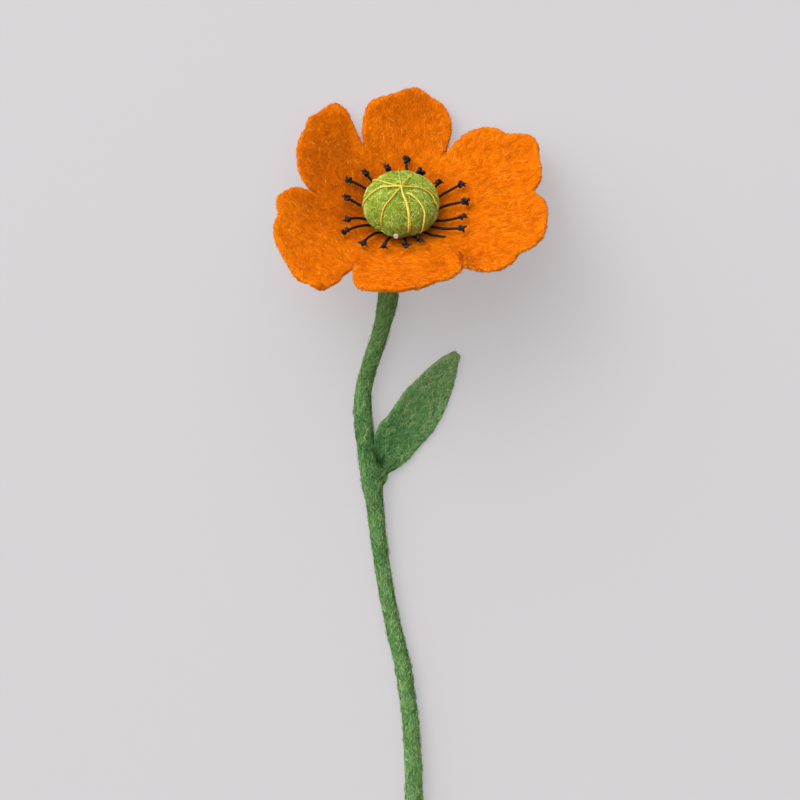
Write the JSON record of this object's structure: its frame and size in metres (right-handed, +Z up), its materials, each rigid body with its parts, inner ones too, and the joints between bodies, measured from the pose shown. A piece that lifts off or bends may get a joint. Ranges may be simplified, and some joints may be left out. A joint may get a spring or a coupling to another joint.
{
  "type": "felt poppy flower",
  "caption": "Wool felt poppy with an orange bowl-shaped bloom, green seed pod, black thread stamens and one leaf, on a green felt-covered wire stem, lying on its side.",
  "frame": {"origin": "middle of the footprint, on the surface that the flower lies on", "axes": "+Y along the stem towards the bloom, +X to the right of it, +Z up, away from the surface"},
  "size_m": [0.0962, 0.3498, 0.0558],
  "materials": {
    "orange_felt": "matt wet-felted wool with a fine fibre nap",
    "pod_felt": "matt needle-felted wool",
    "yellow_thread": "stranded embroidery thread with a soft sheen",
    "black_thread": "waxed thread, satin",
    "pearl": "pearly gloss",
    "stem_felt": "matt wool felt rolled round the wire",
    "leaf_felt": "matt wool felt",
    "wire": "bare soft wire"
  },
  "bodies": {
    "root": {"corolla": "orange_felt", "stamens": "black_thread", "seed_pod": "pod_felt", "pod_threads": "yellow_thread", "bead": "pearl", "stem_felt": "stem_felt", "leaf": "leaf_felt", "stem_wire": "wire"}
  },
  "joints": []
}
